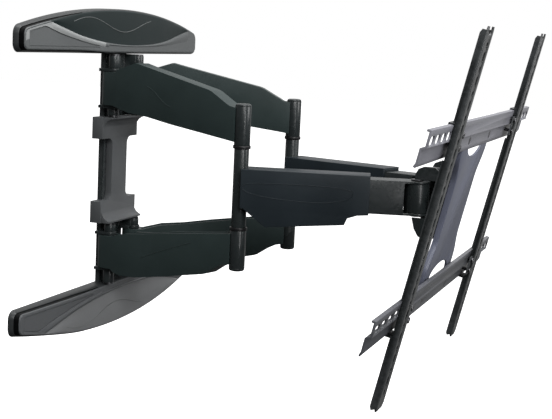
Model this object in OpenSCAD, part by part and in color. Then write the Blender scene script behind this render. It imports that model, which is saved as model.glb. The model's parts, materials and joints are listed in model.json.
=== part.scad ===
// Full motion wall mount for a flat screen, modelled in millimetres.
// The wall is the plane y = 0, the mount reaches out towards -y and +z is up.
// Every module below draws one separate piece of the real assembly.

/* [Linkage] */
// Length of each arm link, pin to pin
link_len = 218; // [180:1:260]
// Half distance between the two wall hinge pins
hinge_x = 35; // [30:0.5:45]
// Distance of the wall hinge pins from the wall
hinge_y = 23; // [22.5:0.5:30]
// Angle of the arms away from straight out
open_angle = 16; // [8:0.5:60]

/* [Rear arms] */
// Thickness of a rear arm at the wall hinge
arm_t = 30; // [26:1:36]
// Thickness of a rear arm along its length
blade_t = 21.6; // [20:0.2:26]
// Height of the top face of the upper arm at the wall hinge
arm_top = 131; // [128:0.5:131]
// Height of the bottom face of the upper arm at the wall hinge
arm_bot = 87.5; // [87.5:0.5:92]
// Radius of the tubes at the elbow end of the rear arms
knuckle_r = 10; // [9.5:0.5:12]

/* [Forearms] */
// Width of the steel box of a forearm
sleeve_w = 32; // [28:1:36]
// Height of the steel box of a forearm
sleeve_h = 42; // [36:1:44]
// Wall thickness of the steel box
sleeve_t = 2.5; // [1.5:0.5:3]
// Radius of the tube at the elbow
tube_r = 9.3; // [9:0.1:12]

/* [Wall unit] */
// Half width of the wall covers
cover_half = 249; // [230:1:260]
// Depth of the wall covers
cover_d = 22; // [18:1:26]
// Lowest height of the top wall cover
cover_z = 155; // [150:1:160]
// Distance between the lag slots on one wall plate
lag_x = 406.4; // [400:0.1:410]
// Height of the lag slots above the middle
lag_z = 174; // [170:1:180]

/* [Screen plate] */
// Rest tilt of the screen plate, top forward
tilt_rest = 12.7; // [0:0.1:15]
// Length of the two rails
rail_len = 640; // [500:1:700]
// Distance of each screen bracket from the middle
bracket_x = 200; // [110:1:290]
// Height of the upper end of a screen bracket
bracket_top = 220; // [210:1:230]
// Height of the lower end of a screen bracket
bracket_bot = -221.5; // [-230:0.5:-210]
// Width of a screen bracket
bracket_w = 34; // [28:1:36]

/* [Hidden] */
$fn = 48;

pin_r = 5;
elbow_r = 6;
run = 0.05;
head_y = -hinge_y - 2 * link_len * cos(open_angle);
swivel_y = head_y - 9.9;
tilt_y = head_y - 31.9;
lower_dz = -202.5;
arch_r = 1125;
bow_r = 4429;
lug_z = [83, 131.5];
steel = [0.12, 0.13, 0.13];
plastic = [0.22, 0.24, 0.24];
grey = [0.42, 0.42, 0.46];

// Placing helpers

module rear(s) {
  translate([s * hinge_x, -hinge_y, 0])
    rotate([0, 0, -90 + s * open_angle])
      children();
}

module fore(s) {
  translate([s * (hinge_x + link_len * sin(open_angle)), -hinge_y - link_len * cos(open_angle), 0])
    rotate([0, 0, -90 - s * open_angle])
      children();
}

module tilted() {
  translate([0, tilt_y, 0])
    rotate([tilt_rest, 0, 0])
      children();
}

module flip() {
  rotate([180, 0, 0])
    children();
}

// Flat outline in x and z, pulled from y0 (front) to y1 (back)
module plate_xz(y0, y1) {
  translate([0, y1, 0])
    rotate([90, 0, 0])
      linear_extrude(height = y1 - y0)
        children();
}

// Flat outline in y and z, pulled from x0 to x1
module plate_yz(x0, x1) {
  translate([x0, 0, 0])
    rotate([90, 0, 90])
      linear_extrude(height = x1 - x0)
        children();
}

// Long hole with round ends
module slot2(len, wid) {
  square([len - wid, wid], center = true);
  for (s = [-1, 1])
    translate([s * (len - wid) / 2, 0])
      circle(d = wid);
}

module block(x0, x1, y0, y1, z0, z1) {
  translate([x0, y0, z0])
    cube([x1 - x0, y1 - y0, z1 - z0]);
}

module hex(r, h) {
  cylinder(r = r, h = h, $fn = 6);
}

// Wall unit

module wall_plate() {
  plate_xz(-3, 0)
    difference() {
      polygon([
        [-224, 160], [224, 160], [224, 180], [168, 196],
        [60, 204], [-60, 204], [-168, 196], [-224, 180]
      ]);
      for (k = [-1, 1]) {
        for (x = [lag_x / 2, 152, 101.6])
          translate([k * x, lag_z])
            slot2(26, 8);
        translate([k * 16, 178])
          circle(r = 3.1);
      }
      translate([0, 182])
        circle(r = 4);
    }
}

module wall_plate_top() {
  color(steel)
    wall_plate();
}

module wall_plate_bottom() {
  color(steel)
    rotate([0, 180, 0])
      wall_plate();
}

module lug(s, z) {
  difference() {
    union() {
      translate([s * hinge_x, -hinge_y, z])
        cylinder(r = 9, h = 4);
      block(s > 0 ? 20 : -44, s > 0 ? 44 : -20, -15, -5, z, z + 4);
      block(s > 0 ? 20 : -hinge_x, s > 0 ? hinge_x : -20, -hinge_y, -5, z, z + 4);
      block(s > 0 ? 26 : -44, s > 0 ? 44 : -26, -hinge_y, -10, z, z + 4);
    }
    translate([s * hinge_x, -hinge_y, z - 1])
      cylinder(r = pin_r + run, h = 6);
  }
}

module wall_column() {
  color(steel)
    difference() {
      union() {
        block(-30, 30, -7.5, -4.5, -199, 199);
        for (x = [-30, 27.5])
          block(x, x + 2.5, -5, 0, -158, 158);
        for (s = [-1, 1])
          block(-30, 30, -5, -3, s > 0 ? 160 : -199, s > 0 ? 199 : -160);
        for (x = [-27.2, 24.7])
          for (z = [[135.5, 154.5], [71.5, 83], [-83, -71.5], [-154.5, -135.5]])
            block(x, x + 2.5, -24, -6, z[0], z[1]);
        for (s = [-1, 1])
          for (z = lug_z) {
            lug(s, z);
            lug(s, -z - 4);
          }
      }
      for (s = [-1, 1])
        for (t = [-1, 1])
          translate([s * 16, 0, t * 178])
            rotate([90, 0, 0])
              cylinder(r = 3.1, h = 20, center = true);
    }
}

module column_screws() {
  color(steel)
    for (s = [-1, 1])
      for (t = [-1, 1])
        translate([s * 16, 0, t * 178])
          rotate([90, 0, 0]) {
            translate([0, 0, 0.2])
              cylinder(r = 3, h = 8);
            translate([0, 0, 7.5])
              hex(5.7, 4);
          }
}

// Points on an arc in the outline of a wall cover, from angle a0 to a1
function arc_pts(x, z, r, a0, a1, n) =
  [for (k = [0 : n]) [x + r * cos(a0 + (a1 - a0) * k / n), z + r * sin(a0 + (a1 - a0) * k / n)]];

module cover_outline(d) {
  low = cover_half - 11;
  top = cover_half - 12;
  base = 214 - arch_r;
  tip = asin(top / (arch_r - 12));
  top_z = base + (arch_r - 12) * cos(tip);
  polygon(concat(
    arc_pts(low, cover_z + 11, 11 - d, -90, 0, 6),
    arc_pts(top, top_z, 12 - d, 0, 90 - tip, 6),
    arc_pts(0, base, arch_r - d, 90 - tip, 90 + tip, 40),
    arc_pts(-top, top_z, 12 - d, 90 + tip, 180, 6),
    arc_pts(-low, cover_z + 11, 11 - d, 180, 270, 6)
  ));
}

// A cover outline with a gently bowed front, k behind the foremost line
module cover_solid(d, k) {
  intersection() {
    plate_xz(k - cover_d, 0)
      cover_outline(d);
    translate([0, k - cover_d + bow_r, cover_z - 5])
      cylinder(r = bow_r, h = 80, $fn = 720);
  }
}

module wall_cover() {
  difference() {
    union() {
      cover_solid(0, 4.5);
      cover_solid(1.4, 1.6);
      cover_solid(3.6, 0);
    }
    plate_xz(-0.2, 10)
      translate([-300, 100])
        square([600, 150]);
    translate([0, 1, 0])
      cover_solid(2.4, 5.5);
    cover_solid(5.8, 2.4);
    block(-30.4, 30.4, -7.9, 1, cover_z - 2, cover_z + 3);
  }
}

module top_cover() {
  color(plastic)
    wall_cover();
}

module bottom_cover() {
  color(plastic)
    rotate([0, 180, 0])
      wall_cover();
}

module spool_half() {
  block(-51, 51, -16.5, -1, 42, 71);
  block(-21.5, 21.5, -16.5, -7.7, -1, 43);
  plate_yz(-48, 48)
    polygon([
      [-10, 57], [-16.4, 57], [-18.2, 61], [-21, 65], [-25, 67.8],
      [-27.6, 68.8], [-27.6, 71], [-10, 71]
    ]);
  for (s = [-1, 1])
    plate_xz(-16.5, -7.7)
      difference() {
        translate([s > 0 ? 21.4 : -31.5, 32])
          square([10.1, 10.5]);
        translate([s * 31.5, 32])
          circle(r = 10);
      }
}

module mid_cover() {
  color(plastic)
    difference() {
      union() {
        spool_half();
        rotate([0, 180, 0])
          spool_half();
      }
      block(-30.4, 30.4, -7.7, 1, -80, 80);
      block(-19.3, 19.3, -14.3, -7, -60, 60);
      for (s = [-1, 1])
        block(s > 0 ? 32.6 : -48.8, s > 0 ? 48.8 : -32.6, -14.3, 1, 44.2, 68.8);
      for (s = [-1, 1])
        block(s > 0 ? 32.6 : -48.8, s > 0 ? 48.8 : -32.6, -14.3, 1, -68.8, -44.2);
    }
}

module wall_pins() {
  color(steel)
    for (s = [-1, 1])
      for (t = [-1, 1])
        translate([s * hinge_x, -hinge_y, t * 113]) {
          translate([0, 0, -41.2])
            cylinder(r = pin_r, h = 82.4);
          for (z = [-41.4, 39.2])
            translate([0, 0, z])
              cylinder(r = 7, h = 2.2);
        }
}

module spacer(z, h) {
  translate([0, 0, z])
    difference() {
      cylinder(r = 7.5, h = h);
      translate([0, 0, -1])
        cylinder(r = pin_r + run, h = h + 2);
    }
}

module wall_spacers() {
  color(steel)
    for (s = [-1, 1])
      translate([s * hinge_x, -hinge_y, 0]) {
        spacer(135.5, 16.7);
        spacer(73.8, 9.2);
        spacer(-152.2, 16.7);
        spacer(-83, 9.2);
      }
}

// Rear arms, drawn along +x from the wall hinge pin

// Outline of an arm cover; the lower arm is less deep than the upper one
module arm_profile(low) {
  polygon(concat(
    [
      [-16, arm_bot], [12, arm_bot], [39, 80], [70, 76.8], [109, 70.6], [160, 64], [213, 57.2]
    ],
    low ? [
      [213, 96], [202, 98], [192, 103], [177, 113], [172, 114.6], [144, 120],
      [112, 126.5], [58, 136.4], [32, 137.3], [20, 134]
    ] : [
      [213, 99.3], [204, 101], [194.5, 106], [175.5, 116.6], [171, 118.3],
      [112, 131], [49, 145], [20, 135.2]
    ],
    [[17, arm_top], [-16, arm_top]]
  ));
}

module core_profile(low) {
  polygon(concat(
    [
      [-10, arm_bot + 2.5], [12, arm_bot + 2.5], [40, 83.5], [109, 74.5], [196, 62.5], [204, 62]
    ],
    low ? [
      [204, 94.2], [191, 99], [175, 109.5], [171, 111], [112, 122.8], [58, 132.6], [32, 133.4]
    ] : [
      [204, 97], [193, 102.3], [174, 113.4], [170, 115], [112, 127.4], [51, 140.6]
    ],
    [[26, 131.6], [17, arm_top - 2.5], [-10, arm_top - 2.5]]
  ));
}

module pocket_profile(low) {
  polygon(concat(
    [[12, arm_bot - 1], [40, 70], [109, 60], [192, 50]],
    low ? [
      [192, 94.5], [172.5, 105.5], [112, 118.8], [57, 128.6], [33, 129.2]
    ] : [
      [192, 98], [172.5, 109], [112, 123.4], [51, 136.4]
    ],
    [[27, 128], [14, arm_top - 6]]
  ));
}

module arm_slab(half) {
  rotate([90, 0, 0])
    translate([0, 0, -half])
      linear_extrude(height = 2 * half)
        children();
}

module arm_core(low) {
  difference() {
    union() {
      intersection() {
        arm_slab(8.8)
          core_profile(low);
        union() {
          translate([0, 0, 40])
            cylinder(r = 11, h = 120);
          block(0, 204, -12, 12, 40, 160);
        }
      }
      translate([0, 0, arm_bot])
        cylinder(r = 11, h = arm_top - arm_bot);
      translate([link_len, 0, 53])
        cylinder(r = knuckle_r, h = 48);
      block(200, link_len, -5, 5, 64, 92);
    }
    arm_slab(6.4)
      pocket_profile(low);
    translate([0, 0, arm_bot - 1])
      cylinder(r = 7.5, h = arm_top - arm_bot + 2);
    translate([link_len, 0, 50])
      cylinder(r = elbow_r + run, h = 54);
  }
}

// Plan of an arm cover, thick at the hinge and slimmer along the arm
module arm_plan() {
  wide = arm_t / 2;
  slim = blade_t / 2;
  translate([0, 0, 40])
    linear_extrude(height = 120)
      union() {
        circle(r = wide);
        polygon([
          [0, -wide], [18, -wide], [66, -slim], [213, -slim],
          [213, slim], [66, slim], [18, wide], [0, wide]
        ]);
      }
}

module arm_cover(low) {
  difference() {
    intersection() {
      arm_slab(arm_t / 2)
        arm_profile(low);
      arm_plan();
    }
    intersection() {
      arm_slab(9)
        core_profile(low);
      block(0, 210, -12, 12, 40, 160);
    }
    arm_slab(9)
      polygon([
        [12, arm_bot - 3], [40, 70], [109, 60], [209, 50],
        [209, 64], [109, 76], [40, 85], [12, arm_bot + 4]
      ]);
    block(190, 210, -9, 9, 56, 93);
    translate([0, 0, arm_bot - 1])
      cylinder(r = 11.2, h = arm_top - arm_bot + 2);
    translate([link_len, 0, 50])
      cylinder(r = knuckle_r + 0.4, h = 60);
  }
}

module upper_arm(s) {
  color(steel)
    rear(s)
      arm_core(false);
}

module lower_arm(s) {
  color(steel)
    rear(s)
      flip()
        arm_core(true);
}

module upper_arm_cover(s) {
  color(plastic)
    rear(s)
      arm_cover(false);
}

module lower_arm_cover(s) {
  color(plastic)
    rear(s)
      flip()
        arm_cover(true);
}

module bush(z) {
  translate([0, 0, z])
    difference() {
      cylinder(r = 7.45, h = arm_top - arm_bot + 0.5);
      translate([0, 0, -1])
        cylinder(r = pin_r + run, h = arm_top - arm_bot + 3);
    }
}

module arm_bushes(s) {
  color([0.8, 0.8, 0.78])
    rear(s) {
      bush(arm_bot - 0.25);
      bush(-arm_top - 0.25);
    }
}

module elbow_pin(s) {
  color(grey)
    rear(s)
      translate([link_len, 0, -101])
        cylinder(r = elbow_r, h = 202);
}

module elbow_cap() {
  translate([link_len, 0, 101])
    rotate_extrude()
      polygon([[0, 0], [9.9, 0], [9.9, 1.2], [9.1, 2.5], [7, 3.3], [4, 3.5], [0, 3.5]]);
}

module elbow_caps(s) {
  color(steel)
    rear(s) {
      elbow_cap();
      flip()
        elbow_cap();
    }
}

// Forearms, drawn along +x from the elbow

module forearm(s) {
  tip = s > 0 ? 0.35 : run;
  half = sleeve_w / 2;
  color(steel)
    fore(s)
      difference() {
        union() {
          translate([0, 0, -49])
            cylinder(r = tube_r, h = 98);
          block(6, link_len - 18, -half, half, -sleeve_h / 2, sleeve_h / 2);
          for (z = [-sleeve_h / 2, sleeve_h / 2 - 3]) {
            block(link_len - 20, link_len, -15.5, 15.5, z, z + 3);
            translate([link_len, 0, z])
              cylinder(r = 15.5, h = 3);
          }
          block(link_len - 19, link_len - 16.2, s > 0 ? half - sleeve_t : -half,
            s > 0 ? half : sleeve_t - half, -sleeve_h / 2, sleeve_h / 2);
        }
        block(tube_r + 2, link_len - 14, -half + sleeve_t, half - sleeve_t,
          -sleeve_h / 2 + 3, sleeve_h / 2 - 3);
        translate([0, 0, -50])
          cylinder(r = elbow_r + run, h = 100);
        translate([link_len, 0, -30])
          cylinder(r = pin_r + tip, h = 60);
      }
}

module fore_profile() {
  polygon([
    [-4, 25.5], [-4, -22], [6, -23], [34, -44.7], [131, -36.5],
    [134.5, -28], [146, -24], [160, -22.8], [160, 25.5]
  ]);
}

module forearm_cover(s) {
  color(plastic)
    fore(s)
      difference() {
        arm_slab(19.5)
          fore_profile();
        block(4, 170, -sleeve_w / 2 - 0.1, sleeve_w / 2 + 0.1, -sleeve_h / 2 - 0.1, sleeve_h / 2 + 0.1);
        block(-10, 8, -tube_r - 0.4, tube_r + 0.4, -60, 60);
        translate([0, 0, -60])
          cylinder(r = tube_r + 0.4, h = 120);
        block(-10, 2, -25, 25, -60, 60);
        arm_slab(17)
          polygon([[33, -22], [35.5, -41.8], [128, -34], [131, -22]]);
      }
}

module elbow_rings(s) {
  color([0.15, 0.15, 0.15])
    fore(s)
      for (z = [49, -52.8])
        translate([0, 0, z])
          difference() {
            cylinder(r = 11, h = 3.8);
            translate([0, 0, -1])
              cylinder(r = elbow_r + run, h = 6);
          }
}

// Head

module head_yoke() {
  color(steel)
    difference() {
      union() {
        for (s = [-1, 1]) {
          translate([s * hinge_x, head_y, -17.5])
            cylinder(r = 15.4, h = 35);
          translate([0, 0, -12])
            linear_extrude(height = 24)
              polygon([
                [0, swivel_y - 6], [s * hinge_x, head_y - 6],
                [s * hinge_x, head_y + 6], [0, swivel_y + 6]
              ]);
        }
        translate([0, swivel_y, -23])
          cylinder(r = 12, h = 46);
      }
      for (s = [-1, 1])
        translate([s * hinge_x, head_y, -30])
          cylinder(r = pin_r + 0.02, h = 60);
      translate([0, swivel_y, -30])
        cylinder(r = elbow_r + 0.02, h = 60);
    }
}

module head_pins() {
  color(grey)
    for (s = [-1, 1])
      translate([s * hinge_x, head_y, 0]) {
        translate([0, 0, -22])
          cylinder(r = pin_r, h = 44);
        translate([0, 0, 21.3])
          cylinder(r = 8, h = 1.6);
        translate([0, 0, -22.9])
          cylinder(r = 8, h = 1.6);
      }
}

module swivel_bolt() {
  color(grey)
    translate([0, swivel_y, 0]) {
      translate([0, 0, -34])
        cylinder(r = elbow_r, h = 66);
      translate([0, 0, 27.8])
        cylinder(r = 11, h = 1.5);
      translate([0, 0, 29.2])
        hex(10, 6);
    }
}

module swivel_nut() {
  color(grey)
    translate([0, swivel_y, -34.4])
      difference() {
        union() {
          hex(10, 5.2);
          translate([0, 0, 5.1])
            cylinder(r = 11, h = 1.5);
        }
        translate([0, 0, -1])
          cylinder(r = elbow_r + 0.02, h = 10);
      }
}

module swivel_bracket() {
  color(steel)
    difference() {
      union() {
        for (z = [23.5, -27.5]) {
          translate([0, swivel_y, z])
            cylinder(r = 14, h = 4);
          translate([0, 0, z])
            linear_extrude(height = 4)
              polygon([
                [-14, swivel_y], [14, swivel_y], [24, swivel_y - 6], [45, swivel_y - 9],
                [45, swivel_y - 23], [-45, swivel_y - 23], [-45, swivel_y - 9], [-24, swivel_y - 6]
              ]);
        }
        block(-45, 45, swivel_y - 23, swivel_y - 19, -27.5, 27.5);
        for (x = [-47, 43])
          plate_yz(x, x + 4)
            union() {
              translate([swivel_y, 0])
                polygon([
                  [7, 37], [10.5, 30], [11, 23.5], [-18, 23.5], [-18, -23.5], [12, -23.5],
                  [8.5, -37], [3, -46], [-6, -49.5], [-16, -47], [-24, -30],
                  [-28, -8], [-28, 8], [-24, 30], [-14, 39.5], [0, 40]
                ]);
              translate([tilt_y, 0])
                circle(r = 9);
            }
      }
      translate([0, swivel_y, -40])
        cylinder(r = elbow_r + run, h = 80);
      for (x = [-45, 45])
        translate([x, tilt_y, 0])
          rotate([0, 90, 0])
            cylinder(r = pin_r + 0.02, h = 5, center = true);
    }
}

module tilt_bolts() {
  color(grey)
    for (s = [-1, 1])
      translate([0, tilt_y, 0])
        rotate([0, s * 90, 0]) {
          translate([0, 0, 43.1])
            cylinder(r = pin_r, h = 9);
          translate([0, 0, 50.9])
            cylinder(r = 9, h = 1.4);
          translate([0, 0, 52.2])
            hex(7, 4);
        }
}

// Screen plate, drawn around the tilt axis before it is tilted

function flare(z) =
  z > 66 || z < -86 ? 80 :
  z > 26 ? 62 + 9 * (1 - cos(4.5 * (z - 26))) :
  z < -44 ? 62 + 9 * (1 - cos(180 * (-44 - z) / 42)) : 62;

module center_outline(d) {
  heights = concat(
    [-125.4 - d], [for (k = [0 : 10]) -86 + 4.2 * k], [for (k = [0 : 10]) 26 + 4 * k], [104 + d]
  );
  polygon(concat(
    [for (z = heights) [flare(z) - d, z]],
    [for (k = [len(heights) - 1 : -1 : 0]) [d - flare(heights[k]), heights[k]]]
  ));
}

module arch(half, rise, z0, z1) {
  polygon(concat(
    [for (k = [0 : 16]) [half * cos(11.25 * k), z0 - rise * sin(11.25 * k)]],
    [[-half, z1], [half, z1]]
  ));
}

module center_plate() {
  color(grey)
    tilted()
      difference() {
        union() {
          difference() {
            intersection() {
              union() {
                plate_xz(-14.3, -12)
                  center_outline(1.3);
                plate_xz(-13.4, -7.7)
                  center_outline(0);
              }
              block(-90, 90, -20, 0, -125.4, 104);
            }
            plate_xz(-11.8, 0)
              center_outline(2.5);
          }
          for (x = [-50.5, 47.5])
            plate_yz(x, x + 3) {
              circle(r = 10);
              polygon([[-12.4, -30], [-2, -10], [2, 10], [-12.4, 28]]);
            }
        }
        plate_xz(-20, 0) {
          arch(46, 18, 76, 110);
          arch(49, -14, -95, -130);
        }
        for (x = [-49, 49])
          translate([x, 0, 0])
            rotate([0, 90, 0])
              cylinder(r = pin_r + run, h = 6, center = true);
        for (x = [-64, 64])
          for (z = [82.4, 82.4 + lower_dz])
            translate([x, -20, z])
              rotate([-90, 0, 0])
                cylinder(r = 3.1, h = 20);
      }
}

module rail_profile() {
  polygon([
    [-21.6, 111], [-21.6, 92.5], [-16.6, 89.5], [-16.6, 75.2], [-14.8, 70.3], [-12.9, 71.4],
    [-14.4, 75.6], [-14.4, 90.9], [-19.4, 93.9], [-19.4, 108.8], [-16.6, 108.8], [-16.6, 111]
  ]);
}

module rail(dz) {
  translate([0, 0, dz])
    difference() {
      plate_yz(-rail_len / 2, rail_len / 2)
        rail_profile();
      for (s = [-1, 1])
        for (k = [0 : 3])
          translate([s * (rail_len / 2 - 14 - 26.5 * k), -12, 99])
            rotate([90, 0, 0])
              linear_extrude(height = 12)
                slot2(20, 11);
      for (s = [-1, 1])
        translate([s * 64, -16.6, 82.4])
          rotate([-90, 0, 0]) {
            cylinder(r1 = 5.3, r2 = 3.1, h = 2.2);
            cylinder(r = 3.1, h = 6);
          }
    }
}

module upper_rail() {
  color(grey)
    tilted()
      difference() {
        rail(0);
        block(-83.5, 83.5, -14.35, 0, 70, 77.5);
      }
}

module lower_rail() {
  color(grey)
    tilted()
      rail(lower_dz);
}

module rail_bolts() {
  color(grey)
    tilted()
      for (x = [-64, 64])
        for (z = [82.4, 82.4 + lower_dz])
          translate([x, -16.55, z])
            rotate([-90, 0, 0]) {
              cylinder(r1 = 5.2, r2 = 3, h = 2.2);
              cylinder(r = 3, h = 11);
              translate([0, 0, 4.85])
                hex(5.5, 4.5);
            }
}

// Screen brackets, drawn around their own middle line, inner side towards the other bracket

module bracket_face() {
  w = bracket_w / 2;
  difference() {
    polygon([
      [-w + 5, bracket_bot], [w - 5, bracket_bot], [w, bracket_bot + 5], [w, bracket_top - 4],
      [w - 2, bracket_top], [-w + 2, bracket_top], [-w, bracket_top - 4], [-w, bracket_bot + 5]
    ]);
    translate([0, bracket_top])
      circle(r = 10.6);
    for (k = [0 : 15])
      translate([0, -200 + k * 400 / 15])
        circle(r = 3.25, $fn = 24);
    for (k = [0 : 14])
      translate([0, -200 + (k + 0.5) * 400 / 15])
        rotate([0, 0, 90])
          slot2(12, 6.5, $fn = 24);
  }
}

module tv_bracket(s) {
  w = bracket_w / 2;
  color(steel)
    tilted()
      translate([s * bracket_x, 0, 0])
        difference() {
          union() {
            plate_xz(-28, -26)
              bracket_face();
            for (x = [-w, w - 2])
              plate_yz(x, x + 2)
                polygon([
                  [-28, bracket_bot + 5], [-22, bracket_bot + 2], [-20, bracket_bot + 6],
                  [-20, bracket_top - 8], [-22, bracket_top - 4], [-28, bracket_top - 4]
                ]);
          }
          for (dz = [0, lower_dz])
            translate([0, 0, dz]) {
              block(-20, 20, -22, -10, 71.7, 113.2);
              block(s > 0 ? -w - 1 : w - 3, s > 0 ? 3 - w : w + 1, -26, -10, 77.5, 104.5);
            }
        }
}

module strap_sheet(s) {
  plate_xz(-25.9, -23.9)
    difference() {
      union() {
        translate([-14.8, 74])
          square([29.6, 38.8]);
        translate([s > 0 ? -31 : 14, 78])
          square([17, 26]);
      }
      for (z = [84, 99])
        translate([-s * 24, z])
          circle(r = 2.1);
    }
}

module bracket_hooks(s) {
  color(steel)
    tilted()
      translate([s * bracket_x, 0, 0]) {
        strap_sheet(s);
        plate_yz(-14.8, 14.8)
          polygon([
            [-25.9, 111.3], [-16.1, 111.3], [-16.1, 104], [-14.6, 104], [-14.6, 112.8], [-25.9, 112.8]
          ]);
        translate([0, 0, lower_dz]) {
          strap_sheet(s);
          block(-14.8, 14.8, -25.9, -23.9, 68.4, 75);
          plate_yz(-14.8, 14.8)
            polygon([
              [-25.9, 68.4], [-10.5, 68.4], [-10.5, 77.5], [-12, 77.5], [-12, 69.9], [-25.9, 69.9]
            ]);
        }
      }
}

module clamp_screws(s) {
  color(grey)
    tilted()
      for (z = [84, 99, 84 + lower_dz, 99 + lower_dz])
        translate([s * (bracket_x - 24), -28.3, z])
          rotate([-90, 0, 0]) {
            difference() {
              cylinder(r = 3.7, h = 2.4);
              translate([0, 0, -1])
                hex(1.9, 2.4);
            }
            translate([0, 0, 1.4])
              cylinder(r = 2, h = (z == 84 || z == 84 + lower_dz) ? 10 : 5);
          }
}

wall_plate_top();
wall_plate_bottom();
wall_column();
column_screws();
top_cover();
bottom_cover();
mid_cover();
wall_pins();
wall_spacers();
upper_arm(-1);  // left_upper_arm
upper_arm_cover(-1);  // left_upper_arm_cover
lower_arm(-1);  // left_lower_arm
lower_arm_cover(-1);  // left_lower_arm_cover
arm_bushes(-1);  // left_arm_bushes
elbow_pin(-1);  // left_elbow_pin
elbow_caps(-1);  // left_elbow_caps
upper_arm(1);  // right_upper_arm
upper_arm_cover(1);  // right_upper_arm_cover
lower_arm(1);  // right_lower_arm
lower_arm_cover(1);  // right_lower_arm_cover
arm_bushes(1);  // right_arm_bushes
elbow_pin(1);  // right_elbow_pin
elbow_caps(1);  // right_elbow_caps
forearm(-1);  // left_forearm
forearm_cover(-1);  // left_forearm_cover
elbow_rings(-1);  // left_elbow_rings
forearm(1);  // right_forearm
forearm_cover(1);  // right_forearm_cover
elbow_rings(1);  // right_elbow_rings
head_yoke();
head_pins();
swivel_bolt();
swivel_nut();
swivel_bracket();
tilt_bolts();
center_plate();
upper_rail();
lower_rail();
rail_bolts();
tv_bracket(-1);  // left_tv_bracket
bracket_hooks(-1);  // left_bracket_hooks
clamp_screws(-1);  // left_clamp_screws
tv_bracket(1);  // right_tv_bracket
bracket_hooks(1);  // right_bracket_hooks
clamp_screws(1);  // right_clamp_screws
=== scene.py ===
import bpy, bmesh, json, math
from mathutils import Matrix, Vector


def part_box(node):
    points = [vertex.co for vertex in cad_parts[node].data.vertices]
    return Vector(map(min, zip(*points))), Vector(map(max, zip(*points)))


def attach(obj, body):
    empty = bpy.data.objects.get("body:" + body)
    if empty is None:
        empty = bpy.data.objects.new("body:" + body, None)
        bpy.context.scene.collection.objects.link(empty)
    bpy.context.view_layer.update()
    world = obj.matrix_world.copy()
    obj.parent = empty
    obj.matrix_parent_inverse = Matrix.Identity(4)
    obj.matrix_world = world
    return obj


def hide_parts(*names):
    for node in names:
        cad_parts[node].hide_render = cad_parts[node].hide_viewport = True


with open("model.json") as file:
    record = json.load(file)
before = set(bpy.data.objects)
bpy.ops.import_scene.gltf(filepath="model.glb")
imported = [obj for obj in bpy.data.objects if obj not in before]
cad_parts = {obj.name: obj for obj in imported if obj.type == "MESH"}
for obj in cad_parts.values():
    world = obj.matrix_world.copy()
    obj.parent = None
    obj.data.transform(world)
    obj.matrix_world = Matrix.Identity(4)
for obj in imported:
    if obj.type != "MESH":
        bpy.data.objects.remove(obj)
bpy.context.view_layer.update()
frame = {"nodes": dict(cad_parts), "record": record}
NODES = frame["nodes"]
RECORD = frame["record"]
scene = bpy.context.scene
BODY_OF = {n: b for b, ns in RECORD["behaviour"]["bodies"].items() for n in ns}
SLOT_OF = {s["node"]: s["material_slot"] for s in RECORD["subparts"]}
JOINT = {j["name"]: Vector(j["pos_m"]) * 1000
         for j in RECORD["behaviour"]["joints"] if j.get("pos_m")}
MM = 0.001


# ---------------------------------------------------------------- materials
EDGE = (0.10, 0.105, 0.11)
ROUGH_VAR = 0.06
BUMP_DEPTH = 0.0003


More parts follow.
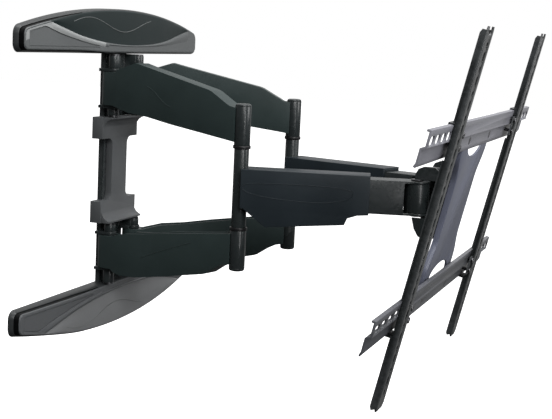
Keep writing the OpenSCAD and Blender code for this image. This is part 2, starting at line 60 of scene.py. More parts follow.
def new_mat(name, base, rough, grain, grain_bump, metallic=0.0, spec=0.5, mottle=0.12,
            wear=0.0, wear_col=EDGE, brushed=0.0, fleck=0.0):
    """A procedural paint or plastic: cloudy tone and roughness, fine grain, worn edges, flecks."""
    m = bpy.data.materials.new(name)
    m.use_nodes = True
    t = m.node_tree
    n, l = t.nodes, t.links
    b = n["Principled BSDF"]
    b.inputs["Metallic"].default_value = metallic
    b.inputs["Specular IOR Level"].default_value = spec
    tc = n.new("ShaderNodeTexCoord")
    cloud = n.new("ShaderNodeTexNoise")
    cloud.inputs["Scale"].default_value = 22.0
    cloud.inputs["Detail"].default_value = 5.0
    l.new(tc.outputs["Object"], cloud.inputs["Vector"])
    ramp = n.new("ShaderNodeMapRange")
    ramp.inputs["From Min"].default_value = 0.3
    ramp.inputs["From Max"].default_value = 0.7
    ramp.inputs["To Min"].default_value = 1.0 - mottle
    ramp.inputs["To Max"].default_value = 1.0 + mottle
    l.new(cloud.outputs["Fac"], ramp.inputs["Value"])
    tint = n.new("ShaderNodeVectorMath")
    tint.operation = "SCALE"
    tint.inputs[0].default_value = base[:3]
    l.new(ramp.outputs["Result"], tint.inputs["Scale"])
    colour = tint.outputs["Vector"]

    def blend_in(factor, value):
        mix = n.new("ShaderNodeMix")
        mix.data_type = "RGBA"
        l.new(factor, mix.inputs["Factor"])
        l.new(colour, mix.inputs["A"])
        mix.inputs["B"].default_value = (*value, 1)
        return mix.outputs["Result"]

    if fleck > 0:
        spots = n.new("ShaderNodeTexNoise")
        spots.inputs["Scale"].default_value = 420.0
        spots.inputs["Detail"].default_value = 3.0
        l.new(tc.outputs["Object"], spots.inputs["Vector"])
        fl = n.new("ShaderNodeMapRange")
        fl.inputs["From Min"].default_value = 0.56
        fl.inputs["From Max"].default_value = 0.72
        fl.inputs["To Max"].default_value = fleck
        l.new(spots.outputs["Fac"], fl.inputs["Value"])
        colour = blend_in(fl.outputs["Result"], wear_col)
    if wear > 0:
        geo = n.new("ShaderNodeNewGeometry")
        edge = n.new("ShaderNodeMapRange")
        edge.inputs["From Min"].default_value = 0.52
        edge.inputs["From Max"].default_value = 0.60
        edge.inputs["To Max"].default_value = wear
        l.new(geo.outputs["Pointiness"], edge.inputs["Value"])
        scuff = n.new("ShaderNodeTexNoise")
        scuff.inputs["Scale"].default_value = 160.0
        l.new(tc.outputs["Object"], scuff.inputs["Vector"])
        mul = n.new("ShaderNodeMath")
        mul.operation = "MULTIPLY"
        l.new(edge.outputs["Result"], mul.inputs[0])
        l.new(scuff.outputs["Fac"], mul.inputs[1])
        colour = blend_in(mul.outputs[0], wear_col)
    l.new(colour, b.inputs["Base Color"])
    fine = n.new("ShaderNodeTexNoise")
    fine.inputs["Scale"].default_value = grain
    fine.inputs["Detail"].default_value = 2.0
    fine.inputs["Roughness"].default_value = 0.6
    if brushed > 0:
        mp = n.new("ShaderNodeMapping")
        mp.inputs["Scale"].default_value = (1.0, 1.0, brushed)
        l.new(tc.outputs["Object"], mp.inputs["Vector"])
        l.new(mp.outputs["Vector"], fine.inputs["Vector"])
    else:
        l.new(tc.outputs["Object"], fine.inputs["Vector"])
    rr = n.new("ShaderNodeMapRange")
    rr.inputs["From Min"].default_value = 0.3
    rr.inputs["From Max"].default_value = 0.7
    rr.inputs["To Min"].default_value = rough - ROUGH_VAR
    rr.inputs["To Max"].default_value = rough + ROUGH_VAR
    l.new(cloud.outputs["Fac"], rr.inputs["Value"])
    l.new(rr.outputs["Result"], b.inputs["Roughness"])
    bump = n.new("ShaderNodeBump")
    bump.inputs["Strength"].default_value = grain_bump
    bump.inputs["Distance"].default_value = BUMP_DEPTH
    l.new(fine.outputs["Fac"], bump.inputs["Height"])
    l.new(bump.outputs["Normal"], b.inputs["Normal"])
    return m


M_STEEL = new_mat("powder_steel", (0.0150, 0.0200, 0.0205), 0.26, spec=0.45,
                  grain=1400, grain_bump=0.22, wear=0.5)
# Bracket steel, darker than the column steel: partly its own near-black finish, partly painted shade.
M_BRACKET_PARTLY_SHADED = new_mat("bracket_steel_partly_painted_shade", (0.0095, 0.0115, 0.0118), 0.28, spec=0.35,
                    grain=1200, grain_bump=0.3, wear=0.9, wear_col=(0.20, 0.21, 0.22), fleck=0.10)
# Both rails are the same dark steel. Their light lavender base colours are a painted sheen, a painted
# reflection of the bright surroundings; the lower rail's darker copy adds painted shade.
M_RAIL_PAINTED_SHEEN = new_mat("rail_steel_painted_sheen", (0.215, 0.217, 0.245), 0.32,
                 grain=1100, grain_bump=0.25, wear=0.8, wear_col=(0.22, 0.22, 0.25), fleck=0.10)
M_RAIL_LOW_SHADED_SHEEN = new_mat("rail_steel_low_shaded_painted_sheen", (0.064, 0.068, 0.075), 0.32,
                     grain=1100, grain_bump=0.25, wear=0.8, wear_col=(0.20, 0.20, 0.23), fleck=0.10)
# The centre plate's lavender-grey base colour is a painted sheen: the dark steel's reflection of the
# bright surroundings painted in.
M_PLATE_PAINTED_SHEEN = new_mat("plate_steel_painted_sheen", (0.112, 0.121, 0.165), 0.38, spec=0.45,
                  grain=1100, grain_bump=0.22, wear=0.5, wear_col=(0.14, 0.14, 0.17), fleck=0.06)
M_ARM = new_mat("arm_plastic", (0.0290, 0.0430, 0.0425), 0.42, spec=0.25,
                grain=2200, grain_bump=0.25, mottle=0.08)
M_FORE = new_mat("forearm_plastic", (0.0185, 0.0255, 0.0310), 0.42, spec=0.25,
                 grain=2200, grain_bump=0.25, mottle=0.08)
M_SHELL = new_mat("cover_shell", (0.030, 0.033, 0.034), 0.40, spec=0.35,
                  grain=2200, grain_bump=0.2, mottle=0.07)
# Near-black for the open seam between shell and insert: painted shadow in the gap.
M_SEAM_PAINTED_SHADOW = new_mat("cover_seam_painted_shadow", (0.0030, 0.0035, 0.0036), 0.60, spec=0.1,
                 grain=2200, grain_bump=0.2, mottle=0.07)
M_COVER = new_mat("cover_panel", (0.105, 0.112, 0.114), 0.42, spec=0.4,
                  grain=2200, grain_bump=0.2, mottle=0.05)
# Light grey for the ridge band under the top cover's lens: a painted highlight where the band faces
# the light.
M_RIDGE_PAINTED_HIGHLIGHT = new_mat("cover_ridge_painted_highlight", (0.300, 0.312, 0.312), 0.40, spec=0.4,
                  grain=2200, grain_bump=0.2, mottle=0.05)
# Lens of the top cover: a little darker in its own finish, darkened far more by painted shade.
M_LENS_TONE_AND_SHADE = new_mat("cover_lens_dark_and_painted_shade", (0.0130, 0.0210, 0.0215), 0.36, spec=0.22,
                 grain=2200, grain_bump=0.08, mottle=0.06)
# Panel of the bottom cover: the top panel's colour a little darker, painted shade.
M_COVER_LOW_PAINTED_SHADE = new_mat("cover_panel_low_painted_shade", (0.094, 0.099, 0.104), 0.42, spec=0.4,
                      grain=2200, grain_bump=0.2, mottle=0.05)
# Lens of the bottom cover: the same lens, lightened by painted light.
M_LENS_LOW_PAINTED_LIGHT = new_mat("cover_lens_low_painted_light", (0.190, 0.195, 0.200), 0.40, spec=0.35,
                     grain=2200, grain_bump=0.12, mottle=0.06)
M_LINE = new_mat("cover_line", (0.14, 0.15, 0.15), 0.38, spec=0.4,
                 grain=2200, grain_bump=0.1, mottle=0.06)
M_MID = new_mat("mid_plastic", (0.084, 0.089, 0.093), 0.45, spec=0.35,
                grain=2200, grain_bump=0.22, mottle=0.06)
M_ZINC = new_mat("dark_zinc", (0.10, 0.10, 0.105), 0.32, metallic=1.0,
                 grain=500, grain_bump=0.12, brushed=0.1, mottle=0.15)
M_NYLON = new_mat("black_nylon", (0.008, 0.008, 0.009), 0.38, spec=0.45,
                  grain=1500, grain_bump=0.1)
SLOT_MAT = {"black_steel": M_STEEL, "black_plastic": M_ARM, "dark_zinc": M_ZINC, "nylon": M_NYLON}
NODE_MAT = {"mid_cover": M_MID, "center_plate": M_PLATE_PAINTED_SHEEN,
            "upper_rail": M_RAIL_PAINTED_SHEEN, "lower_rail": M_RAIL_LOW_SHADED_SHEEN,
            "top_cover": M_SHELL, "bottom_cover": M_SHELL,
            "left_forearm_cover": M_FORE, "right_forearm_cover": M_FORE}
for side in ("left", "right"):
    NODE_MAT[side + "_tv_bracket"] = M_BRACKET_PARTLY_SHADED
    NODE_MAT[side + "_bracket_hooks"] = M_BRACKET_PARTLY_SHADED


def mat_for(node):
    return NODE_MAT.get(node, SLOT_MAT[SLOT_OF[node]])


for name, ob in NODES.items():
    ob.data.materials.clear()
    ob.data.materials.append(mat_for(name))


# ---------------------------------------------------------------- frames of the moving bodies
def axes(origin, along):
    """A frame in mm with x along a level direction and z up."""
    d = Vector((along.x, along.y, 0)).normalized()
    return Matrix(((d.x, -d.y, 0, origin.x), (d.y, d.x, 0, origin.y),
                   (0, 0, 1, 0), (0, 0, 0, 1)))


LEFT_ELBOW, RIGHT_ELBOW = JOINT["left_elbow"], JOINT["right_elbow"]
HEAD_L = JOINT["head_pivot"]
HEAD_R = Vector((-HEAD_L.x, HEAD_L.y, 0))
REAR = {"left": axes(JOINT["extend"], LEFT_ELBOW - JOINT["extend"]),
        "right": axes(JOINT["right_hinge"], RIGHT_ELBOW - JOINT["right_hinge"])}
FORE = {"left": axes(LEFT_ELBOW, HEAD_L - LEFT_ELBOW),
        "right": axes(RIGHT_ELBOW, HEAD_R - RIGHT_ELBOW)}
WALL = Matrix.Identity(4)


# ---------------------------------------------------------------- pieces
ROUND_OVER_ANGLE = 32.0
FLAT_ANGLE = 0.8
WELD = 2e-6


def add_piece(name, me, body, mat, replaces=()):
    ob = bpy.data.objects.new(name, me)
    scene.collection.objects.link(ob)
    me.materials.clear()
    me.materials.append(mat)
    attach(ob, body)
    if replaces:
        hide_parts(*replaces)
    return ob


def bevel(ob, width, segs):
    bev = ob.modifiers.new("edge", "BEVEL")
    bev.width = width
    bev.segments = segs
    bev.limit_method = "ANGLE"
    bev.angle_limit = math.radians(ROUND_OVER_ANGLE)
    bev.use_clamp_overlap = True
    bev.harden_normals = False


def softened(node, width, segs=2):
    """A copy of a CAD part with its sheet edges rounded over, standing for that part."""
    me = NODES[node].data.copy()
    bm = bmesh.new()
    bm.from_mesh(me)
    bmesh.ops.remove_doubles(bm, verts=bm.verts, dist=WELD)
    bmesh.ops.dissolve_limit(bm, angle_limit=math.radians(FLAT_ANGLE), verts=bm.verts,
                             edges=bm.edges)
    for f in bm.faces:
        f.smooth = True
    bm.to_mesh(me)
    bm.free()
    ob = add_piece(node + "_piece", me, BODY_OF[node], mat_for(node), (node,))
    bevel(ob, width, segs)


def grid_piece(name, rows, body, mat, frame_mm=WALL, replaces=(), sharp=40.0):
    """A sheet through rows of points in mm; rows all have the same length."""
    bm = bmesh.new()
    vs = [[bm.verts.new((frame_mm @ Vector(p)) * MM) for p in row] for row in rows]
    for a, b in zip(vs, vs[1:]):
        for i in range(len(a) - 1):
            bm.faces.new((a[i], a[i + 1], b[i + 1], b[i]))
    bmesh.ops.remove_doubles(bm, verts=bm.verts, dist=1e-6)
    bmesh.ops.recalc_face_normals(bm, faces=bm.faces)
    for f in bm.faces:
        f.smooth = True
    me = bpy.data.meshes.new(name)
    bm.to_mesh(me)
    bm.free()
    me.set_sharp_from_angle(angle=math.radians(sharp))
    return add_piece(name, me, body, mat, replaces)


def bead(name, pts, radius, body, mat, frame_mm=WALL, cyclic=False):
    """A thin raised line through points in mm."""
    cu = bpy.data.curves.new(name, "CURVE")
    cu.dimensions = "3D"
    cu.bevel_depth = radius * MM
    cu.bevel_resolution = 2
    sp = cu.splines.new("NURBS")
    sp.points.add(len(pts) - 1)
    for q, p in zip(sp.points, pts):
        q.co = (*((frame_mm @ Vector(p)) * MM), 1)
    sp.use_endpoint_u = not cyclic
    sp.use_cyclic_u = cyclic
    sp.order_u = 3
    cu.resolution_u = 8
    cu.materials.append(mat)
    ob = bpy.data.objects.new(name, cu)
    scene.collection.objects.link(ob)
    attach(ob, body)


def curve_at(points, x):
    """Height of a smooth line through (x, z) points, flat outside them."""
    if x <= points[0][0]:
        return points[0][1]
    if x >= points[-1][0]:
        return points[-1][1]
    for i in range(len(points) - 1):
        if x <= points[i + 1][0]:
            break
    (x0, z0), (x1, z1) = points[i], points[i + 1]
    m0 = m1 = (z1 - z0) / (x1 - x0)
    if i:
        m0 = (z1 - points[i - 1][1]) / (x1 - points[i - 1][0])
    if i + 2 < len(points):
        m1 = (points[i + 2][1] - z0) / (points[i + 2][0] - x0)
    h = x1 - x0
    t = (x - x0) / h
    return (z0 * (2 * t ** 3 - 3 * t * t + 1) + m0 * h * (t ** 3 - 2 * t * t + t)
            + z1 * (3 * t * t - 2 * t ** 3) + m1 * h * (t ** 3 - t * t))


# ---------------------------------------------------------------- wall covers
cmin, cmax = (Vector(v) * 1000 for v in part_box("top_cover"))
HALF, LOW_Z, TOP_Z, FRONT = cmax.x, cmin.z, cmax.z, cmin.y
ARCH_R, BOW_R = 1125.0, 4429.0     # top edge seen from the front, and the bowed front seen from above
R_LOW, R_TOP = 11.0, 12.0          # corner radii
WALL_GAP = 0.4                     # the front pieces stay this far off the wall plane
BASE = TOP_Z - ARCH_R
TIP = math.asin((HALF - R_TOP) / (ARCH_R - R_TOP))
TOP_C = BASE + (ARCH_R - R_TOP) * math.cos(TIP)


def bow(x):
    return FRONT + x * x / (2 * BOW_R)


def low_line(x, d):
    a = abs(x) - (HALF - R_LOW)
    r = R_LOW - d
    return LOW_Z + R_LOW - (r if a <= 0 else math.sqrt(max(0.0, r * r - a * a)))


def top_line(x, d):
    if abs(x) <= (ARCH_R - d) * math.sin(TIP):
        return BASE + math.sqrt((ARCH_R - d) ** 2 - x * x)
    a = abs(x) - (HALF - R_TOP)
    return TOP_C + math.sqrt(max(0.0, (R_TOP - d) ** 2 - a * a))


def smooth(t):
    t = min(1.0, max(0.0, t))
    return t * t * (3 - 2 * t)


def depth_at(x, k):
    """The y of a point k behind the bowed front, kept off the wall."""
    return min(bow(x) + k, -WALL_GAP)


def gap_share(x, low):
    """How far the seam between shell and insert is open: 1 at the left end, 0 further right."""
    return 1 - (smooth((x + 130) / 90) if low else smooth((x + 200) / 105))


# (inset, depth) steps through the shell, the seam and the side of the insert, in pairs:
# where the seam is open, then where it's flush
INSET_OPEN, INSET_FLUSH = 5.0, 3.4
SHELL = [((0, 16.0), (0, 6.5)), ((0.9, 12.2), (0.0, 5.4)), ((1.8, 9.7), (0.25, 3.8)),
         ((2.4, 8.6), (0.8, 2.3)), ((2.6, 8.3), (1.3, 1.45))]
SEAM = [((2.6, 8.3), (1.3, 1.45)), ((2.8, 11.0), (1.5, 1.2)), ((3.5, 11.0), (1.95, 0.85)),
        ((3.6, 1.8), (2.05, 0.8))]
SIDE = [((3.6, 1.8), (2.05, 0.8)), ((3.85, 0.9), (2.35, 0.6)), ((4.3, 0.35), (2.8, 0.4)),
        ((INSET_OPEN, 0.1), (INSET_FLUSH, 0.15))]


CORNER_STEPS, EDGE_STEPS = 10, 90


def outline(d_open, d_flush, k_open, k_flush, flat=None):
    """A closed row of points round the cover at a given inset and depth, or at a flat y."""
    pts = []

    def depth(x, w):
        return flat if flat is not None else depth_at(x, w * k_open + (1 - w) * k_flush)

    def put(cx, cz, r, ang, low):
        a = math.radians(ang)
        w = gap_share(cx + r * math.cos(a), low)
        d = w * d_open + (1 - w) * d_flush
        x = cx + (r - d) * math.cos(a)
        pts.append((x, depth(x, w), cz + (r - d) * math.sin(a)))

    tip = math.degrees(TIP)
    for n, cx, cz, r, a0, a1, low in (
            (CORNER_STEPS, HALF - R_LOW, LOW_Z + R_LOW, R_LOW, -90, 0, True),
            (CORNER_STEPS, HALF - R_TOP, TOP_C, R_TOP, 0, 90 - tip, False),
            (EDGE_STEPS, 0, BASE, ARCH_R, 90 - tip, 90 + tip, False),
            (CORNER_STEPS, -HALF + R_TOP, TOP_C, R_TOP, 90 + tip, 180, False),
            (CORNER_STEPS, -HALF + R_LOW, LOW_Z + R_LOW, R_LOW, 180, 270, True)):
        for i in range(n + 1):
            put(cx, cz, r, a0 + (a1 - a0) * i / n, low)
    low_end = HALF - R_LOW
    for i in range(1, EDGE_STEPS):
        x = low_end * (-1 + 2 * i / EDGE_STEPS)
        w = gap_share(x, True)
        pts.append((x, depth(x, w), LOW_Z + w * d_open + (1 - w) * d_flush))
    return pts + pts[:1]


# Feature lines of a cover: (x, height above its low edge) in mm
LENS = [(-203, 40.0), (-193.7, 38.2), (-172.5, 33.4), (-127.8, 23.7), (-95, 18.6), (-58.7, 14.8),
        (-14.3, 12.2), (33.2, 11.6), (84.4, 13.6), (125.5, 17.7), (168.9, 26.0), (215.6, 35.2),
        (228, 38.0)]
RIDGE = [(-236, 30.0), (-226, 32.0), (-212, 32.6), (-200.3, 31.4), (-172.1, 24.6), (-127.5, 16.8),
         (-99.9, 12.9), (-69, 9.6), (-47.5, 7.4)]
LENS_L, LENS_R = LENS[0][0], LENS[-1][0]
RIDGE_R = -60                                  # the ridge band with its painted highlight changes to the plain sill here
PANEL_L, PANEL_R, PANEL_Z = -237.0, -50.0, LOW_Z + 7.6
PANEL_SUNK, PANEL_EDGE = 0.6, 1.4              # how far the panel and the groove round it lie back
LENS_SUNK = 1.3
# places in a column of cover_column() where one piece ends and the next starts
SPLIT_RIDGE, SPLIT_LENS = 13, 19
SIDE_LENS_X = 0.21                             # in m: past it the insert's side has the panel's colour


def inset_at(x, low):
    w = gap_share(x, low)
    return INSET_OPEN * w + INSET_FLUSH * (1 - w)


def cover_column(x):
    """Heights and depths behind the bowed front, from the foot of the insert to its top."""
    zb, zt = low_line(x, inset_at(x, True)), top_line(x, inset_at(x, False))
    line = LOW_Z + curve_at(LENS, x)
    has_lens = LENS_L < x < LENS_R and line < zt - 1.0
    lens = line if has_lens else zt - 0.7
    in_panel = PANEL_L < x < PANEL_R
    edge = min(x - PANEL_L, PANEL_R - x)
    z0 = PANEL_Z
    z1 = z0 + (lens - z0) * 0.4
    if in_panel:
        z1 = max(min(LOW_Z + curve_at(RIDGE, x), zt - 3), z0 + 0.02)
    w = 1.0 if in_panel and z1 - z0 > 2.4 else 0.0
    deep = PANEL_EDGE if edge < 1.2 else PANEL_SUNK
    h = z1 - z0
    g = min(1.2, h * 0.3)
    pts = [(zb, 0.12), (zb + 0.5, 0.05), (zb + 1.0, 0.02), (z0 - 0.6, 0.0), (z0 - 0.3, 0.0),
           (z0, PANEL_EDGE * w), (z0 + g * 0.7, PANEL_EDGE * w), (z0 + g, deep * w)]
    pts += [(z0 + g + (h - 2 * g) * i / 3, deep * w) for i in (1, 2)]
    pts += [(z1 - g, deep * w), (z1 - g * 0.7, PANEL_EDGE * w), (z1, PANEL_EDGE * w)]
    span = lens - z1
    crown = -1.0 if has_lens else 0.0
    pts += [(z1 + min(0.4, span * 0.2), 0.0)]
    pts += [(z1 + span * (0.12 + 0.2 * i), crown * math.sin(math.pi * 0.22 * i))
            for i in (1, 2, 3, 4)]
    step = LENS_SUNK if has_lens else 0.0
    pts += [(lens - 0.1, 0.1 if has_lens else 0.0), (lens + 0.1, step)]
    lh = zt - 0.2 - (lens + 0.1)
    for i in range(1, 9):
        f = i / 8
        bulge = 0.5 * math.sin(math.pi * f) * min(1, lh / 14)
        pts.append((lens + 0.1 + lh * f, step * (1 - smooth(f)) - bulge))
    pts += [(zt, 0.12)]
    return pts


REAR_Y = -0.2                                  # the covers' back edge, just off the wall
EDGE_SHARP, FACE_SHARP = 50, 28                # degrees over which a fold shades as a sharp edge
# a plain cosine wave in place of the photo's decorative line
WAVE_X, WAVE_LENGTH, WAVE_MID, WAVE_SWING = -140, 215, 37.5, 8.5
WAVE_TURNS, WAVE_START, WAVE_STEPS = 1.15, 0.79, 39


def profile(steps):
    """The rows of points for a list of (inset, depth) steps."""
    return [outline(o[0], f[0], o[1], f[1]) for o, f in steps]


def wall_cover(node, sign, panel, lens_mat):
    """All the pieces of one cover. The bottom cover is the top one's mirror image, sign -1."""
    flip = Matrix.Scale(sign, 4, (0, 0, 1))
    body, slot = BODY_OF[node], SLOT_OF[node]
    rim = outline(0, 0, 0, 0, REAR_Y)
    grid_piece(node + "_shell", [rim] + profile(SHELL), body, M_SHELL, flip, (node,), EDGE_SHARP)
    seam = grid_piece(node + "_seam", profile(SEAM), body, M_SHELL, flip, (), EDGE_SHARP)
    # Where the seam is open its faces take the near-black seam material, a painted shadow in the gap.
    seam.data.materials.append(M_SEAM_PAINTED_SHADOW)
    for f in seam.data.polygons:
        low = sign * f.center.z * 1000 < LOW_Z + 20
        f.material_index = int(gap_share(f.center.x * 1000, low) > 0.12)
    side = grid_piece(node + "_side", profile(SIDE), body, panel, flip, (), EDGE_SHARP)
    # Above the lens line, near the middle, the insert's side takes the lens material: painted shade on
    # the top cover, painted light on the bottom one.
    side.data.materials.append(lens_mat)
    for f in side.data.polygons:
        above = sign * f.center.z * 1000 > LOW_Z + curve_at(LENS, f.center.x * 1000)
        f.material_index = int(above and abs(f.center.x) < SIDE_LENS_X)
    rows = [outline(2.2, 2.2, 0, 0, REAR_Y), outline(2.2, 2.2, 17, 7.4), outline(12, 12, 11, 6.0)]
    grid_piece(node + "_inside", rows, body, M_SHELL, flip, (), EDGE_SHARP)
    left, right = -(HALF - INSET_OPEN), HALF - INSET_FLUSH
    xs = [left, left + 0.3, left + 1,
          PANEL_L - 0.4, PANEL_L + 0.01, PANEL_L + 0.6, PANEL_L + 1.15, PANEL_L + 1.35,
          LENS_L - 0.2, LENS_L + 0.2, PANEL_R - 1.3, PANEL_R - 0.1, PANEL_R + 0.1,
          right - 1, right - 0.3, right]
    x = left + 2
    while x < right - 2:
        xs.append(x)
        x += 1.0 if x < -234 or x > 232 else 2.5
    xs = sorted(set(round(v, 3) for v in xs))
    cols = [[(v, bow(v) + k, z) for z, k in cover_column(v)] for v in xs]
    rows = [c[:SPLIT_RIDGE + 1] for c in cols]
    grid_piece(node + "_panel", rows, body, panel, flip, (), FACE_SHARP)
    ridge_end = next(i for i, v in enumerate(xs) if v > RIDGE_R)
    rc = [c[SPLIT_RIDGE:SPLIT_LENS + 1] for c in cols]
    if sign > 0:
        # Only the top cover's ridge band gets the painted highlight.
        grid_piece(node + "_ridge_painted_highlight", rc[:ridge_end + 1], body, M_RIDGE_PAINTED_HIGHLIGHT, flip, (), FACE_SHARP)
        grid_piece(node + "_sill", rc[ridge_end:], body, panel, flip, (), FACE_SHARP)
    else:
        grid_piece(node + "_sill", rc, body, panel, flip, (), FACE_SHARP)
    rows = [c[SPLIT_LENS:] for c in cols]
    grid_piece(node + "_lens", rows, body, lens_mat, flip, (), FACE_SHARP)
    wave = []
    for i in range(WAVE_STEPS + 1):
        t = i / WAVE_STEPS
        x = WAVE_X + WAVE_LENGTH * t
        up = WAVE_MID + WAVE_SWING * math.cos(2 * math.pi * (t * WAVE_TURNS + WAVE_START))
        wave.append((x, bow(x) - 0.05, LOW_Z + up))
    bead(node + "_line", wave, 0.42, body, M_LINE, flip)


# The bottom cover takes copies of the top cover's panel and lens colours, with painted shade on the
# panel and painted light on the lens.
wall_cover("top_cover", 1, M_COVER, M_LENS_TONE_AND_SHADE)
wall_cover("bottom_cover", -1, M_COVER_LOW_PAINTED_SHADE, M_LENS_LOW_PAINTED_LIGHT)

# ---------------------------------------------------------------- arms and forearms
# Raised lines on the covers: (distance along the arm, height) in mm
UPPER_LINE = [(67, 116.5), (74, 114.5), (84, 108), (94, 99.5), (102, 94.7), (108, 92.5)]
LOWER_LINE = [(67, 108.5), (84, 101), (115, 89.5), (140, 80.5), (151, 77)]
FORE_LINE = [(4, 4), (5, 0), (14, -4), (40, -8.4), (68, -10.4), (95, -11), (118, -9), (134, -5),
             (141, 1.6), (139, 6), (128, 8.4), (95, 10), (50, 10), (16, 9), (6, 7)]
ARM_FACE, FORE_FACE = 10.8, 19.5               # half the thickness of the covers
LINE_R = 0.45
for side in ("left", "right"):
    for level in ("upper", "lower"):
        node = "%s_%s_arm_cover" % (side, level)
        softened(node, 0.0011, 3)
        softened("%s_%s_arm" % (side, level), 0.0005)
        line, up = (UPPER_LINE, 1) if level == "upper" else (LOWER_LINE, -1)
        for face in (-1, 1):
            pts = [(u, face * ARM_FACE, up * v) for u, v in line]
            bead("%s_line%s" % (node, "ab"[face > 0]), pts, LINE_R, BODY_OF[node],
                 M_ARM, REAR[side])
    node = side + "_forearm_cover"
    softened(node, 0.0011, 3)
    softened(side + "_forearm", 0.0006)
    for face in (-1, 1):
        pts = [(u, face * FORE_FACE, v) for u, v in FORE_LINE]
        bead("%s_line%s" % (node, "ab"[face > 0]), pts, LINE_R, BODY_OF[node],
             M_FORE, FORE[side], True)
    softened(side + "_elbow_rings", 0.0004)
    softened(side + "_elbow_caps", 0.0003)
    softened(side + "_tv_bracket", 0.0005)
    softened(side + "_bracket_hooks", 0.0004)
    softened(side + "_clamp_screws", 0.0003)

# ---------------------------------------------------------------- the rest, edges softened
# wall_pins, the arm bushes and the elbow pins stay as they are in the CAD: they hardly show.
for node, width in (("wall_plate_top", 0.0004), ("wall_plate_bottom", 0.0004),
                    ("wall_column", 0.0006), ("column_screws", 0.0003), ("mid_cover", 0.0011),
                    ("wall_spacers", 0.0003), ("head_yoke", 0.001),
                    ("head_pins", 0.0004), ("swivel_bolt", 0.0004), ("swivel_nut", 0.0004),
                    ("swivel_bracket", 0.0007), ("tilt_bolts", 0.0004), ("center_plate", 0.0009),
                    ("upper_rail", 0.0006), ("lower_rail", 0.0006), ("rail_bolts", 0.0002)):
    softened(node, width)


# ---------------------------------------------------------------- stage
def area(name, loc, target, size, power, size_y=None):
    ld = bpy.data.lights.new(name, "AREA")
    ld.energy = power
    ld.shape = "RECTANGLE"
    ld.size = size
    ld.size_y = size_y or size
    ob = bpy.data.objects.new(name, ld)
    scene.collection.objects.link(ob)
    ob.location = loc
    ob.rotation_euler = (Vector(target) - Vector(loc)).to_track_quat("-Z", "Y").to_euler()


FLOOR_HALF, FLOOR_Z = 14.0, -0.62
floor_me = bpy.data.meshes.new("floor")
floor_me.from_pydata([(x * FLOOR_HALF, y * FLOOR_HALF, FLOOR_Z)
                      for x, y in ((-1, -1), (1, -1), (1, 1), (-1, 1))], [], [(0, 1, 2, 3)])
floor = bpy.data.objects.new("floor", floor_me)
scene.collection.objects.link(floor)
fm = bpy.data.materials.new("floor_paint")
fm.use_nodes = True
fb = fm.node_tree.nodes["Principled BSDF"]
fb.inputs["Roughness"].default_value = 0.95
fb.inputs["Specular IOR Level"].default_value = 0.05
fb.inputs["Emission Color"].default_value = (1, 1, 1, 1)
fb.inputs["Emission Strength"].default_value = 0.9
fn = fm.node_tree.nodes.new("ShaderNodeTexNoise")
fn.inputs["Scale"].default_value = 6.0
fr = fm.node_tree.nodes.new("ShaderNodeMapRange")
fr.inputs["To Min"].default_value = 0.88
fr.inputs["To Max"].default_value = 0.92
fc = fm.node_tree.nodes.new("ShaderNodeCombineColor")
fm.node_tree.links.new(fn.outputs["Fac"], fr.inputs["Value"])
for i in range(3):
    fm.node_tree.links.new(fr.outputs["Result"], fc.inputs[i])
fm.node_tree.links.new(fc.outputs["Color"], fb.inputs["Base Color"])
floor_me.materials.append(fm)
# Only the camera sees the floor, so that it doesn't light up the black parts from below.
floor.visible_diffuse = False
floor.visible_glossy = False

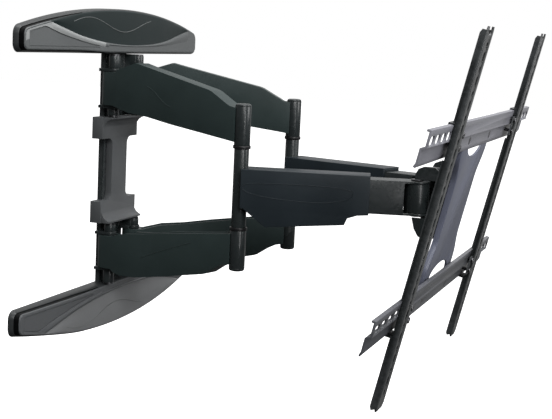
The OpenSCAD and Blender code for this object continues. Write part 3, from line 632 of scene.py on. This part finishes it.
# White to the camera, and to everything else a soft gradient, brighter from above.
world = bpy.data.worlds.new("studio")
scene.world = world
world.use_nodes = True
wt = world.node_tree
wb = wt.nodes["Background"]
wb.inputs["Color"].default_value = (1, 1, 1, 1)
wc = wt.nodes.new("ShaderNodeTexCoord")
wd = wt.nodes.new("ShaderNodeVectorMath")
wd.operation = "DOT_PRODUCT"
wd.inputs[1].default_value = (0.45, 0.10, 0.88)
wm = wt.nodes.new("ShaderNodeMapRange")
wm.interpolation_type = "SMOOTHSTEP"
wm.inputs["From Min"].default_value = -0.25
wm.inputs["From Max"].default_value = 0.95
wm.inputs["To Min"].default_value = 0.05
wm.inputs["To Max"].default_value = 0.75
wp = wt.nodes.new("ShaderNodeLightPath")
wx = wt.nodes.new("ShaderNodeMath")
wx.operation = "MAXIMUM"
wt.links.new(wc.outputs["Generated"], wd.inputs[0])
wt.links.new(wd.outputs["Value"], wm.inputs["Value"])
wt.links.new(wm.outputs["Result"], wx.inputs[0])
wt.links.new(wp.outputs["Is Camera Ray"], wx.inputs[1])
wt.links.new(wx.outputs["Value"], wb.inputs["Strength"])

area("key", (-2.1, -1.6, 1.5), (0, -0.25, 0), 1.2, 42)
area("top", (0.2, -0.3, 2.2), (0, -0.25, 0), 1.6, 34)
area("front", (0.5, -2.6, 0.9), (0, -0.3, 0), 1.4, 30)
area("strip", (-1.7, -2.3, 0.3), (0, -0.25, 0), 0.3, 14, size_y=1.6)

# The camera fitted to the photograph: azimuth, elevation and roll, place, focal length in pixels
CAM_ANGLES, CAM_AT, FOCAL_PX = (-70.45, 7.95, 2.75), (-1.5015, -0.7822, 0.1865), 1226.9
IMAGE_W, SENSOR_MM = 552, 36.0
SHIFT_X_PX, SHIFT_Y_PX = -1.25, -0.4
cd = bpy.data.cameras.new("cam")
cam = bpy.data.objects.new("cam", cd)
scene.collection.objects.link(cam)
a, e, r = (math.radians(v) for v in CAM_ANGLES)
D = Vector((-math.sin(a) * math.cos(e), math.cos(a) * math.cos(e), -math.sin(e)))
R0 = Vector((math.cos(a), math.sin(a), 0))
U0 = R0.cross(D)
RT = R0 * math.cos(r) + U0 * math.sin(r)
UP = U0 * math.cos(r) - R0 * math.sin(r)
cam.matrix_world = Matrix((*((RT[i], UP[i], -D[i], CAM_AT[i]) for i in range(3)), (0, 0, 0, 1)))
cd.sensor_width = SENSOR_MM
cd.lens = FOCAL_PX / IMAGE_W * SENSOR_MM
cd.clip_end = 50
cd.shift_x = SHIFT_X_PX / IMAGE_W
cd.shift_y = SHIFT_Y_PX / IMAGE_W
scene.camera = cam
scene.view_settings.view_transform = "Standard"
scene.view_settings.look = "None"
